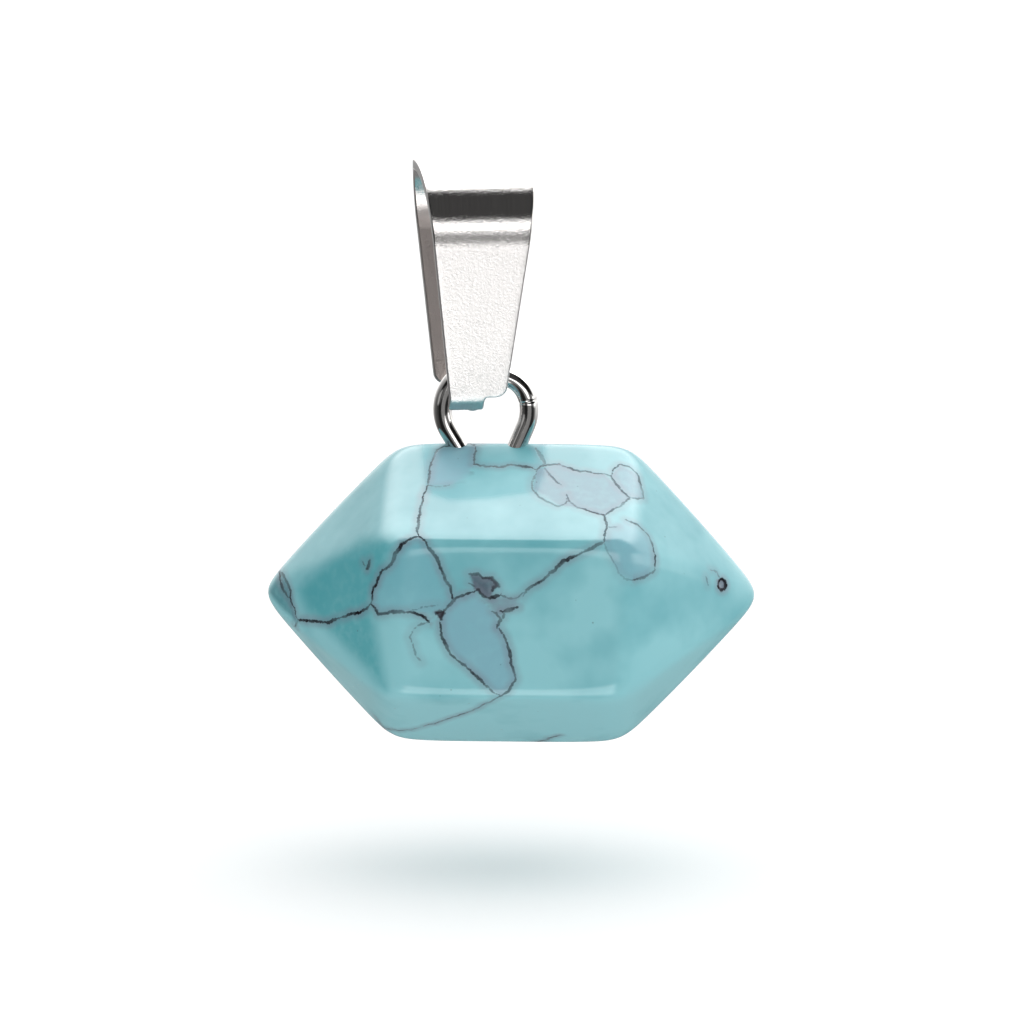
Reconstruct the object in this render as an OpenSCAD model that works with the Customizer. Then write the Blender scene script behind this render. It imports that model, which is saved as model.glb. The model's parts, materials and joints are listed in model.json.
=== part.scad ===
// Stone pendant: a tumbled double-pointed hexagonal stone lies level below a folded strip bail.
// A wire eye loop set in the stone's top ridge hangs on the peg across the bail's lower end.
// Millimetres, +Z up. X runs along the stone, and -Y is the front.
// The origin is the top of the inside of the bail's fold, where a chain lies.

/* [Bail] */
// Thickness of the bail's strip
strip_t = 0.5; // [0.4:0.05:0.5]
// Radius inside the fold, which the chain passes through
fold_r = 2.6; // [2.4:0.1:2.8]
// Width of the strip at the top of the fold
fold_w = 5.65; // [5.4:0.05:6.2]
// Width of the strip where the fold runs into the front leaf
front_shoulder_w = 4.4; // [4:0.05:4.7]
// Width of the strip where the fold runs into the back leaf
back_shoulder_w = 4.6; // [4:0.05:4.8]
// Width of the front leaf at its lower end
front_end_w = 2.62; // [2.5:0.02:2.9]
// Width of the back leaf at its lower end
back_end_w = 3.4; // [2.8:0.1:3.6]
// Inward lean of each leaf from upright, in degrees
leaf_lean = 12.5; // [11:0.5:12.5]
// Length of the front leaf, from the fold to where its lip starts to bend
front_leaf_l = 7.4; // [7.3:0.1:7.6]
// Length of the back leaf, from the fold to its lower edge
back_leaf_l = 7.12; // [7:0.02:7.2]
// Corner radius at the leaves' lower ends
leaf_corner_r = 0.55; // [0.4:0.05:0.7]
// Width of the lip bent inwards at the front leaf's lower end
lip_w = 1.62; // [1.4:0.02:1.8]
// Distance of the lip's middle to the left of the bail's middle
lip_offset = 0.49; // [0.4:0.01:0.5]
// Outer radius of the lip's bend
lip_r = 0.6; // [0.55:0.05:0.65]

/* [Peg] */
// Radius of the peg that carries the eye loop
peg_r = 0.57; // [0.5:0.01:0.57]
// Depth of the peg's axis below the origin
peg_depth = 10.62; // [10.6:0.01:10.66]
// Distance of the peg's axis to the left of the bail's middle
peg_offset = 0.16; // [0.1:0.02:0.16]

/* [Eye loop] */
// Thickness of the round wire
wire_d = 0.88; // [0.8:0.02:0.88]
// Radius of the loop along the middle of its wire
loop_r = 2.01; // [2.01:0.01:2.1]
// Distance of the loop's middle to the right of the bail's middle
loop_x = 0.54; // [0.44:0.01:0.54]
// Depth of the loop's middle below the peg's axis
loop_below_peg = 0.6; // [0.5:0.01:0.6]
// Slope of the two legs that run down into the stone, in degrees from level
leg_slope = 63; // [60:1:64]
// Lean of the loop in the stone, its foot to the right, in degrees
loop_lean = 4; // [0:1:5]
// Radius of the straight shank set in the stone, which the legs run into
shank_r = 0.62; // [0.6:0.01:0.7]
// Length of the shank below the point where the legs meet
shank_l = 3.2; // [2.5:0.1:4]
// Gap around the wire in the stone's drilled holes, filled with glue
glue_gap = 0.04; // [0.03:0.01:0.05]

/* [Stone] */
// Distance between opposite long edges before rounding
stone_across = 14.56; // [14:0.02:15]
// Length from point to point before rounding
stone_l = 23.9; // [23:0.02:25]
// Length of the six-sided middle before rounding
prism_l = 10.8; // [10:0.05:11.5]
// Radius to which tumbling has worn every edge, corner and point
edge_r = 1.25; // [1:0.05:1.5]
// Distance of the stone's middle to the right of the eye loop
stone_shift = 1.16; // [0:0.02:1.2]
// Distance by which the top ridge stands further right than the bottom one
ridge_slant = 0.36; // [0:0.02:0.5]
// Depth of the stone's top ridge below the middle of the eye loop
ridge_below_loop = 1.62; // [1.6:0.01:1.7]
// Turn of the stone and its eye loop about the upright, seen from above, in degrees
drop_turn = -10; // [-10:1:0]

/* [Hidden] */
$fn = 64;

fold_out_r = fold_r + strip_t;
// Angle of the fold from its top to where a leaf begins
fold_sweep = 90 + leaf_lean;
// Straight pieces in the strip's outline along the fold
outline_steps = 10;

leg_half_angle = 90 - leg_slope;
apex_depth = loop_r / sin(leg_half_angle);
// The legs are thinner than the loop's wire by a hair and run a little way into it, so that they join
leg_thinning = 0.005;
leg_overlap = 0.1;
leg_l = loop_r / tan(leg_half_angle) + leg_overlap;
// The shank's top stands a hair above the points where the legs' middle lines leave its side
shank_hair = 0.05;
shank_head = shank_r / tan(leg_half_angle) + shank_hair;
loop_z = -peg_depth - loop_below_peg;

// The worn stone is a smaller copy of its sharp form, thickened by edge_r all round
sharp_r = stone_across / 2;
sharp_apothem = sharp_r * cos(30);
point_l = (stone_l - prism_l) / 2;
face_l = sqrt(point_l * point_l + sharp_apothem * sharp_apothem);
core_r = (sharp_apothem - edge_r) / cos(30);
core_tip = stone_l / 2 - edge_r * face_l / sharp_apothem;
core_prism = prism_l / 2 - edge_r * (face_l - point_l) / sharp_apothem;
ridge_r = core_r + edge_r;
core_slant = ridge_slant / 2 * core_r / ridge_r;

// Longer than anything in the part, for cuts and extrusions that run right through
through = 40;

// Half the strip's width at an angle from the top of the fold, narrowing to the shoulder
function fold_half_w(angle, shoulder_w) = (fold_w - (fold_w - shoulder_w) * angle / fold_sweep) / 2;

// Height of the strip's outside at an angle from the top of the fold
function fold_height(angle) = -fold_r + fold_out_r * cos(angle);

// Height of the outside of a leaf at a distance below the fold
function leaf_height(l) = fold_height(fold_sweep) - l * cos(leaf_lean);

// Moves a drawing from the plane of Y and Z to its place, extruded both ways along X
module across_x(w) rotate([90, 0, 90]) linear_extrude(w, center = true) children();

// Moves a drawing from the plane of X and Z to its place, extruded forwards from y
module forwards_from(y, l) translate([0, y, 0]) rotate([90, 0, 0]) linear_extrude(l) children();

// Side view of the fold, open below the two leaves
module fold_side() {
    reach = 2 * fold_out_r;
    translate([0, -fold_r]) difference() {
        circle(fold_out_r);
        circle(fold_r);
        polygon([
            [0, 0],
            [-reach * cos(leaf_lean), -reach * sin(leaf_lean)],
            [-reach, -2 * reach],
            [reach, -2 * reach],
            [reach * cos(leaf_lean), -reach * sin(leaf_lean)]
        ]);
    }
}

// Side view of one leaf at the front
module leaf_side(l) {
    translate([0, -fold_r]) rotate(leaf_lean) translate([-fold_out_r, -l]) square([strip_t, l]);
}

// Side view of the front leaf's lip, a quarter turn inwards
module lip_side() {
    translate([0, -fold_r]) rotate(leaf_lean) translate([lip_r - fold_out_r, -front_leaf_l])
        intersection() {
            difference() {
                circle(lip_r);
                circle(lip_r - strip_t);
            }
            translate([-lip_r, -lip_r]) square(lip_r);
        }
}

// Front view of the strip from the top of the fold to the lower end of a leaf, left end square
module strip_front(shoulder_w, end_w, l) {
    end_z = leaf_height(l);
    side = [for (i = [0 : outline_steps])
        let (a = i * fold_sweep / outline_steps) [fold_half_w(a, shoulder_w), fold_height(a)]];
    other_side = [for (i = [outline_steps : -1 : 0]) [-side[i].x, side[i].y]];
    lower_right = [end_w / 2, end_z];
    lower_left = [-end_w / 2, end_z];
    difference() {
        polygon(concat(side, [lower_right, lower_left], other_side));
        translate(lower_right) corner_cut(leaf_corner_r);
    }
}

// What rounding takes away from a lower right corner
module corner_cut(r) {
    difference() {
        translate([-r, -r]) square(2 * r);
        translate([-r, r]) circle(r);
        translate([-2 * r, r]) square(2 * r);
    }
}

// One half of the folded strip, front or back, cut to its outline
module front_half() {
    intersection() {
        across_x(through) {
            fold_side();
            leaf_side(front_leaf_l);
        }
        forwards_from(0, through) strip_front(front_shoulder_w, front_end_w, front_leaf_l);
    }
}

module back_half() {
    intersection() {
        across_x(through) {
            fold_side();
            mirror([1, 0]) leaf_side(through);
        }
        forwards_from(through, through) {
            difference() {
                strip_front(back_shoulder_w, back_end_w, back_leaf_l);
                translate([-back_end_w / 2, leaf_height(back_leaf_l)])
                    mirror([1, 0]) corner_cut(leaf_corner_r);
            }
            tongue_front();
        }
    }
}

// Front view of the tongue, as wide as the peg, that reaches down to hold the peg's back end
module tongue_front() {
    tongue_l = peg_depth + leaf_height(back_leaf_l) + strip_t;
    translate([-peg_offset, -peg_depth]) circle(peg_r);
    translate([-peg_offset - peg_r, -peg_depth]) square([2 * peg_r, tongue_l]);
}

module lip() {
    translate([-lip_offset, 0, 0]) across_x(lip_w) lip_side();
}

// The peg runs from inside the front leaf to inside the back tongue
module peg() {
    front_y = -fold_out_r * cos(leaf_lean) + front_leaf_l * sin(leaf_lean) + strip_t / 2;
    back_y = peg_back_y();
    translate([-peg_offset, back_y, -peg_depth]) rotate([90, 0, 0])
        cylinder(h = back_y - front_y, r = peg_r);
}

// Depth at which the middle of the back tongue stands at the peg's height
function peg_back_y() =
    let (drop = peg_depth - fold_r, mid_r = fold_r + strip_t / 2)
    (mid_r - drop * sin(leaf_lean)) / cos(leaf_lean);

module bail() {
    color("gainsboro") union() {
        front_half();
        back_half();
        lip();
        peg();
    }
}

// Moves the stone and its eye loop from the loop's own frame to where they hang
module hung() translate([loop_x, 0, loop_z]) rotate([0, 0, drop_turn]) children();

// Leans the wire and the holes drilled for it
module leaning() rotate([0, -loop_lean, 0]) children();

// A leg's wire from the loop to the middle of the shank, at the side given as -1 or 1
module leg(side, r) {
    translate([0, 0, -apex_depth]) rotate([0, side * leg_half_angle, 0]) cylinder(h = leg_l, r = r);
}

// The shank, thickened and lengthened by extra
module shank(extra) {
    translate([0, 0, -apex_depth - shank_l - extra])
        cylinder(h = shank_l + shank_head + 2 * extra, r = shank_r + extra);
}

module eye_loop() {
    color("silver") hung() leaning() union() {
        rotate([90, 0, 0]) rotate([0, 0, -leg_half_angle])
            rotate_extrude(angle = 180 + 2 * leg_half_angle) translate([loop_r, 0]) circle(wire_d / 2);
        leg(-1, wire_d / 2 - leg_thinning);
        leg(1, wire_d / 2 - leg_thinning);
        shank(0);
    }
}

module stone() {
    color("mediumturquoise") hung() difference() {
        translate([stone_shift, 0, -ridge_below_loop - ridge_r]) worn_stone();
        leaning() {
            leg(-1, wire_d / 2 + glue_gap);
            leg(1, wire_d / 2 + glue_gap);
            shank(glue_gap);
        }
    }
}

// The stone's form about its own middle, with one long edge on top
module worn_stone() {
    hull() {
        for (side = [-1, 1]) {
            translate([side * core_tip, 0, 0]) sphere(edge_r, $fn = 32);
            for (a = [0 : 60 : 300])
                translate([side * core_prism + core_slant * cos(a), core_r * sin(a), core_r * cos(a)])
                    sphere(edge_r, $fn = 32);
        }
    }
}

bail();
eye_loop();
stone();
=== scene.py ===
"""Stone pendant: a tumbled, double-pointed stone hangs level on a wire eye loop below a folded strip bail."""
import json
import math
from typing import NamedTuple

import bmesh
import bpy
import numpy as np
from bpy.props import FloatProperty, FloatVectorProperty, IntProperty, PointerProperty, StringProperty
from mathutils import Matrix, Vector
from mathutils.geometry import delaunay_2d_cdt
from mathutils.kdtree import KDTree


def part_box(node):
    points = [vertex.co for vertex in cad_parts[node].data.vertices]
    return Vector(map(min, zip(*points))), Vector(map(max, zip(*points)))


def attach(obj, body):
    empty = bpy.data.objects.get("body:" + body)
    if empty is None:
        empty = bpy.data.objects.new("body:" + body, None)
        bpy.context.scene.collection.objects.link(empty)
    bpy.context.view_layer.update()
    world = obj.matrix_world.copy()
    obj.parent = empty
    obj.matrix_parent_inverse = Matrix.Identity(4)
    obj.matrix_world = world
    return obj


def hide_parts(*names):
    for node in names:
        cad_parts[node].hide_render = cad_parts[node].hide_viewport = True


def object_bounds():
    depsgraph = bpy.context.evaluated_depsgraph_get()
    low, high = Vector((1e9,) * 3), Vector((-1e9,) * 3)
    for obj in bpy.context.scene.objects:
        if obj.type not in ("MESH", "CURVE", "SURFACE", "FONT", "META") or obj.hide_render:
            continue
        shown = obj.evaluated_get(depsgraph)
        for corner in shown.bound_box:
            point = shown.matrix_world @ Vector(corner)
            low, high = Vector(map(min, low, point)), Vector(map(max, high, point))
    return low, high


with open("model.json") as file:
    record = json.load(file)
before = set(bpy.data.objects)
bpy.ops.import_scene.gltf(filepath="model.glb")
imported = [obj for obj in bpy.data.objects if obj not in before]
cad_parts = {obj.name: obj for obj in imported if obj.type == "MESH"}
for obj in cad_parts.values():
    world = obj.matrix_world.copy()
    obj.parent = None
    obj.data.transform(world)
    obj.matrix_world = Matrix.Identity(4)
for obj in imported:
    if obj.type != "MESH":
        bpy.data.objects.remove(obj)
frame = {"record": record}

bl_info = {
    "name": "Stone Pendant",
    "version": (1, 0, 0),
    "blender": (4, 5, 0),
    "location": "3D View > Sidebar > Pendant",
    "description": "Builds a double-pointed stone pendant with its eye loop, its strip bail and a studio",
    "category": "Add Mesh",
}

CAD_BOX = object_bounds()
MM = 0.001

# The one joint of the frame turns about the middle of the peg
PEG_AXIS = Vector(frame["record"]["behaviour"]["joints"][0]["pos_m"])
STONE_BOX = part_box("stone")
LOOP_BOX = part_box("eye_loop")


def length(name, description, mm):
    """A property that holds a length, given in millimetres and kept in metres."""
    return FloatProperty(name=name, description=description, default=mm * MM, unit="LENGTH", precision=5)


def angle(name, description, degrees):
    """A property that holds an angle, given in degrees and kept in radians."""
    return FloatProperty(name=name, description=description, default=math.radians(degrees), unit="ROTATION")


def hex_colour(name, description, value):
    """A property that holds an sRGB colour as it is written in hex."""
    return StringProperty(name=name, description=description, default=value)


class StoneSettings(bpy.types.PropertyGroup):
    """Sizes and colours of the stone."""

    across: length("Across", "Distance between opposite long edges before wear", 14.42)
    tip_to_tip: length("Tip to tip", "Distance between the two points before wear", 24.06)
    middle: length("Middle", "Length of the six-sided middle before wear", 11.0)
    slant: length("Ridge slant", "How much further right the top ridge stands than the bottom one", 0.32)
    turn: angle("Turn", "Turn of the stone and its eye loop about the upright", -10)
    edge_wear: length("Edge wear", "Depth worn off the long edges between facets", 0.115)
    corner_wear: length("Corner wear", "Further depth worn off where the middle meets the points", 0.074)
    tip_wear: length("Tip wear", "Further depth worn off the two points", 0.073)
    wear_reach: length("Wear reach", "Distance along the stone over which corner and tip wear fade", 1.72)
    body: hex_colour("Body", "Turquoise-blue dye in the body of the stone", "#8CC8CF")
    deep: hex_colour("Deep body", "Body where more dye has soaked in", "#6AAEB7")
    vein: hex_colour("Vein", "Dark matrix in the veins", "#17141A")
    stain: hex_colour("Stain", "Grey-mauve stain beside the veins", "#7A7E8E")


class LoopSettings(bpy.types.PropertyGroup):
    """Sizes and colour of the wire eye loop."""

    wire: length("Wire", "Thickness of the round wire", 0.88)
    radius: length("Radius", "Radius of the loop along the middle of its wire", 2.01)
    flat: length("Flat", "How far the loop is flattened at its upper right", 0.3)
    leg_slope: angle("Leg slope", "Slope of the legs that run into the stone", 63)
    lean: angle("Lean", "Lean of the loop in the stone, its foot to the right", 4)
    sides: IntProperty(name="Sides", description="Sides of the wire's round section", default=40, min=12)
    steel: hex_colour("Steel", "Polished stainless steel wire", "#DAD8D6")


class BailSettings(bpy.types.PropertyGroup):
    """Sizes and colour of the folded strip bail and its peg."""

    strip: length("Strip", "Thickness of the strip", 0.5)
    fold_radius: length("Fold radius", "Radius inside the fold", 2.6)
    fold_width: length("Fold width", "Width of the strip at the top of the fold", 5.65)
    front_shoulder: length("Front shoulder", "Width where the fold runs into the front leaf", 4.4)
    back_shoulder: length("Back shoulder", "Width where the fold runs into the back leaf", 4.6)
    front_end: length("Front end", "Width of the front leaf at its lower end", 2.62)
    back_end: length("Back end", "Width of the back leaf at its lower end", 3.4)
    lean: angle("Lean", "Inward lean of each leaf", 12.5)
    front_leaf: length("Front leaf", "Length of the front leaf down to its lip", 7.4)
    back_leaf: length("Back leaf", "Length of the back leaf", 7.12)
    corner: length("Corner", "Corner radius at the leaves' lower ends", 0.55)
    lip_width: length("Lip width", "Width of the lip bent inwards at the front leaf's lower end", 1.62)
    lip_offset: length("Lip offset", "Distance of the lip's middle to the left of the bail's middle", 0.49)
    lip_radius: length("Lip radius", "Outer radius of the lip's bend", 0.56)
    lip_turn: angle("Lip turn", "How far the lip is bent inwards", 34)
    lip_length: length("Lip length", "Length of the lip along the strip", 0.72)
    edge_round: length("Edge round", "Radius to which tumbling has rounded the strip's cut edges", 0.09)
    peg_radius: length("Peg radius", "Radius of the peg that carries the eye loop", 0.57)
    steel: hex_colour("Steel", "Tumbled stainless steel strip", "#EFECEA")
    edge: hex_colour("Edge", "Sheared edge of the strip", "#A5A3A2")
    # Inside the fold the steel is rougher, and its darker colour is painted shade between the leaves
    dull_and_shaded: hex_colour("Dull steel", "Steel inside the fold, which the tumbling can't reach", "#B4ABA7")


class StudioSettings(bpy.types.PropertyGroup):
    """The camera, the light and the floor."""

    aim: FloatVectorProperty(
        name="Aim", description="Point that the camera looks at", size=3, subtype="TRANSLATION",
        default=(1.77 * MM, 0, -16.11 * MM),
    )
    azimuth: angle("Azimuth", "Camera's way round the pendant from its front", -7.5)
    elevation: angle("Elevation", "Camera's height above the horizon", 10)
    distance: length("Distance", "Distance from the camera to its aim", 250)
    frame_width: length("Frame width", "Width that the square frame shows at the aim", 47.74)
    floor_gap: length("Floor gap", "Gap between the stone and the floor below it", 6)
    floor: hex_colour("Floor", "Matte white acrylic", "#F4F4F4")


def settings():
    return bpy.context.scene.pendant


class PendantSettings(bpy.types.PropertyGroup):
    """All sizes and colours of the pendant and its studio."""

    stone: PointerProperty(type=StoneSettings, name="Stone", description="The stone")
    loop: PointerProperty(type=LoopSettings, name="Eye loop", description="The wire eye loop")
    bail: PointerProperty(type=BailSettings, name="Bail", description="The folded strip bail")
    studio: PointerProperty(type=StudioSettings, name="Studio", description="Camera, light and floor")


# Materials


def linear(value):
    """The linear RGBA of an sRGB colour written as #RRGGBB."""
    parts = [int(value[i:i + 2], 16) / 255 for i in (1, 3, 5)]
    return (*(c / 12.92 if c <= 0.04045 else ((c + 0.055) / 1.055) ** 2.4 for c in parts), 1.0)


def add(tree, kind, inputs=None, **options):
    """Adds a node with its options. Each input is set to a value, or linked if it is given a socket."""
    made = tree.nodes.new(kind)
    for name, value in options.items():
        setattr(made, name, value)
    for key, value in (inputs or {}).items():
        if isinstance(value, bpy.types.NodeSocket):
            tree.links.new(value, made.inputs[key])
        else:
            made.inputs[key].default_value = value
    return made


def ranged(tree, value, low, high, at_low=0.0, at_high=1.0, **options):
    """A socket with the value moved from the range low to high on to the range at_low to at_high."""
    return add(tree, "ShaderNodeMapRange", {"Value": value, "From Min": low, "From Max": high,
                                            "To Min": at_low, "To Max": at_high}, **options).outputs[0]


def reckoned(tree, operation, *values):
    """A socket with the result of the operation on the values."""
    return add(tree, "ShaderNodeMath", dict(enumerate(values)), operation=operation).outputs[0]


def product(tree, first, second):
    """A socket with the product of two values."""
    return reckoned(tree, "MULTIPLY", first, second)


# The Mix node's sockets for values and for colours share their names, so the next two functions go by number


def mixed(tree, share, first, second):
    """A socket with a value that goes from the first to the second with the share."""
    return add(tree, "ShaderNodeMix", {0: share, 2: first, 3: second}).outputs[0]


def laid_over(tree, share, under, over):
    """A socket with one colour laid over another by the share."""
    return add(tree, "ShaderNodeMix", {0: share, 6: under, 7: over}, data_type="RGBA").outputs[2]


def noise(tree, place, scale, detail, roughness=0.5):
    """A socket with smooth noise from about 0 to 1."""
    return add(tree, "ShaderNodeTexNoise", {"Vector": place, "Scale": scale, "Detail": detail,
                                            "Roughness": roughness}).outputs[0]


def stored(tree, name, output="Fac"):
    """A socket with what the mesh keeps under the name at each point."""
    return add(tree, "ShaderNodeAttribute", attribute_name=name).outputs[output]


def bumped(tree, height):
    """A socket with normals bent by the height, which is in metres."""
    return add(tree, "ShaderNodeBump", {"Strength": 1.0, "Distance": 1.0, "Height": height}).outputs[0]


def new_material(name):
    """A material and its empty tree."""
    material = bpy.data.materials.new(name)
    material.use_nodes = True
    tree = material.node_tree
    tree.nodes.clear()
    return material, tree


def object_place(tree):
    """A socket with the place of a point in its object."""
    return add(tree, "ShaderNodeTexCoord").outputs["Object"]


def add_surface(tree, inputs):
    """Ends a material's tree with its shader."""
    shader = add(tree, "ShaderNodeBsdfPrincipled", inputs)
    add(tree, "ShaderNodeOutputMaterial", {"Surface": shader.outputs[0]})


# Sizes of the stone's patterns: clouds of dye, flecks in the islands, and grains and gaps in the dark matrix
CLOUD = 3.2 * MM
FLECK = 0.45 * MM
MATRIX_GRAIN = 0.13 * MM
MATRIX_GAP = 0.3 * MM
# Values of their noise between which each of them changes from one extreme to the other
CLOUD_RANGE = (0.32, 0.72)
FLECK_RANGE = (0.3, 0.55)
GRAIN_RANGE = (0.25, 0.75)
GAP_RANGE = (0.3, 0.6)
# What is left of an island's colour in its flecks, and of a vein's ink in its gaps
IN_FLECKS = 0.8
IN_GAPS = 0.8
# A vein's edges wander by this much to either side, and it fades between these shares of its half width
EDGE_WANDER = 0.045 * MM
VEIN_EDGE = (0.7, 1.35)
# Its matrix lies this far below the polish
VEIN_SINK = 0.012 * MM
# Distances from a vein between which its stain fades, and how much the stain shows beside it
STAIN_REACH = (0.03 * MM, 0.50 * MM)
STAIN_SHARE = 0.55
# Dark specks stand about this far apart, fade between these shares of that, and show this much
SPECK_SPACING = 1.1 * MM
SPECK_EDGE = (0.02, 0.05)
SPECK_SHARE = 0.55
# Heights between which the stone is painted paler, as light thrown up from the floor, and what they add to the noise
# of the clouds
PAINTED_UNDERLIGHT_REACH = (-17 * MM, -22.5 * MM)
PAINTED_UNDERLIGHT_SHARE = (-0.05, 0.25)
# Roughness and specular level of the polish and of the matrix
STONE_ROUGHNESS = (0.13, 0.5)
STONE_SHINE = (0.5, 0.04)
STONE_IOR = 1.59


def polished_howlite(colours):
    """Howlite, dyed right through and tumbled to a glassy polish.

    Porous white stone takes the dye unevenly, so the body is cloudy, the dense islands between the veins
    stay greyer and paler, and the dark matrix in the veins is a little rough and lies a hair below the polish.
    """
    material, tree = new_material("Polished dyed howlite")
    place = object_place(tree)
    cloud = noise(tree, place, 1 / CLOUD, 3)
    # Painted light: the stone is made paler towards the bottom, for light thrown up from the floor
    height = add(tree, "ShaderNodeSeparateXYZ", {0: place}).outputs["Z"]
    lower = ranged(tree, height, *PAINTED_UNDERLIGHT_REACH, *PAINTED_UNDERLIGHT_SHARE)
    cloudy = ranged(tree, reckoned(tree, "ADD", cloud, lower), *CLOUD_RANGE)
    body = laid_over(tree, cloudy, linear(colours.deep), linear(colours.body))

    # Islands of other stone laid over the body; two at the left of the front are partly painted shade
    flecked = ranged(tree, noise(tree, place, 1 / FLECK, 4), *FLECK_RANGE, IN_FLECKS)
    share = product(tree, stored(tree, "island_and_shade", "Alpha"), flecked)
    isled_and_shaded = laid_over(tree, share, body, stored(tree, "island_and_shade", "Color"))

    # The matrix ends in ragged edges and has gaps
    gap, half, ink = (stored(tree, "vein_" + name) for name in ("gap", "half", "ink"))
    grain = noise(tree, place, 1 / MATRIX_GRAIN, 3)
    wander = ranged(tree, grain, *GRAIN_RANGE, -EDGE_WANDER, EDGE_WANDER, clamp=False)
    ratio = reckoned(tree, "DIVIDE", reckoned(tree, "ADD", gap, wander), half)
    core = ranged(tree, ratio, *VEIN_EDGE, 1, 0, interpolation_type="SMOOTHSTEP")
    patchy = ranged(tree, noise(tree, place, 1 / MATRIX_GAP, 2), *GAP_RANGE, IN_GAPS)
    inked = product(tree, ink, patchy)
    vein = product(tree, core, inked)

    # The stain fades over about 0.5 mm on both sides of a vein
    fade = ranged(tree, gap, *STAIN_REACH, STAIN_SHARE, 0, interpolation_type="SMOOTHERSTEP")
    stained = laid_over(tree, product(tree, fade, inked), isled_and_shaded, linear(colours.stain))

    # Sparse dark specks of matrix, each about 0.1 mm across
    speck = add(tree, "ShaderNodeTexVoronoi", {"Vector": place, "Scale": 1 / SPECK_SPACING}).outputs["Distance"]
    marked = reckoned(tree, "MAXIMUM", vein, ranged(tree, speck, *SPECK_EDGE, SPECK_SHARE, 0))

    # The matrix hardly shines, and neither does the patch of painted reflection that stands for the mirrored bail
    duller_matrix_and_reflection = reckoned(tree, "MAXIMUM", stored(tree, "painted_bail_reflection"), marked)
    sunk = product(tree, vein, -VEIN_SINK)
    add_surface(tree, {
        "Base Color": laid_over(tree, marked, stained, linear(colours.vein)),
        "Roughness": ranged(tree, duller_matrix_and_reflection, 0, 1, *STONE_ROUGHNESS), "IOR": STONE_IOR,
        "Specular IOR Level": ranged(tree, duller_matrix_and_reflection, 0, 1, *STONE_SHINE), "Normal": bumped(tree, sunk),
        "Subsurface Weight": 0.06, "Subsurface Radius": (0.4, 1.0, 1.0), "Subsurface Scale": 0.4 * MM,
    })
    return material


# Values between which noise mostly lies
NOISE_RANGE = (0.3, 0.7)

# Waves of noise in each millimetre, for the strip's rolled lines, its tumbled grain and its scuffs
ROLLED_SCALE = (16, 0.5, 1)
GRAIN_SCALE = 10
SCUFF_SCALE = 0.55
# Values of their noise between which scuffs grow, and how bright the steel is in a scuff and in a rolled line
SCUFF_RANGE = (0.58, 0.72)
IN_SCUFFS = 0.8
IN_LINES = 0.93
# Roughness of the fold and of the leaves, how far the grain changes it, and that of sheared steel and of the steel
# between the leaves
STRIP_ROUGHNESS = (0.08, 0.34)
GRAIN_ROUGHNESS = 0.16
EDGE_ROUGHNESS = 0.42
# Depths of the strip's grain on the fold and on the leaves, and of its rolled lines
FOLD_GRAIN = 0.009 * MM
LEAF_GRAIN = 0.015 * MM
ROLLED_DEPTH = 0.002 * MM
# Heights on the blank, in millimetres from its mid-surface, over which a point comes to be on the inside face,
# and comes to be on the sheared edge
INSIDE_FACE = (-0.2, -0.24)
SHEARED_FACE = (0.22, 0.17)
# Distances along the blank, in millimetres, over which the fold's polish turns satin, and over which the inside grows
# dull and is painted darker as shade
SATIN_REACH = (4, 5.6)
ROUGH_AND_SHADED_REACH = (3.6, 4.6)
# How dull the inside already is at the top of the fold, and how far its painted shade has grown there
FOLD_TOP_SHADE_AND_DULLNESS = 0.4


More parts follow.
